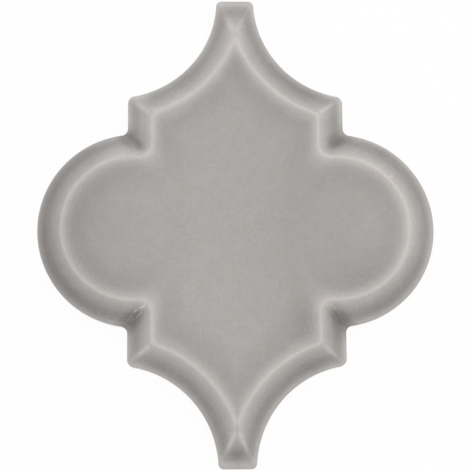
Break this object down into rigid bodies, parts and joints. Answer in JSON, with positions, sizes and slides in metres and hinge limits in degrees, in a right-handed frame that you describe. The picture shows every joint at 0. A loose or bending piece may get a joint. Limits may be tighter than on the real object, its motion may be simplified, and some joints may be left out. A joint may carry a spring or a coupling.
{
  "type": "arabesque wall tile",
  "caption": "Lantern-shaped glazed ceramic wall tile with round side lobes, concave bays, narrow flat-ended spires and a wide bevelled edge, bedded by its flat back.",
  "frame": {"origin": "middle of the back, where the tile meets the wall or the floor it lies on", "axes": "+X across the two lobes, +Y along the spires, +Z out of the glazed face"},
  "size_m": [0.15, 0.1792, 0.01],
  "materials": {
    "glaze": "glossy warm grey glaze that thins to a paler grey over the ridges and pools darker beside them"
  },
  "bodies": {
    "root": {"arabesque_tile": "glaze"}
  },
  "joints": []
}
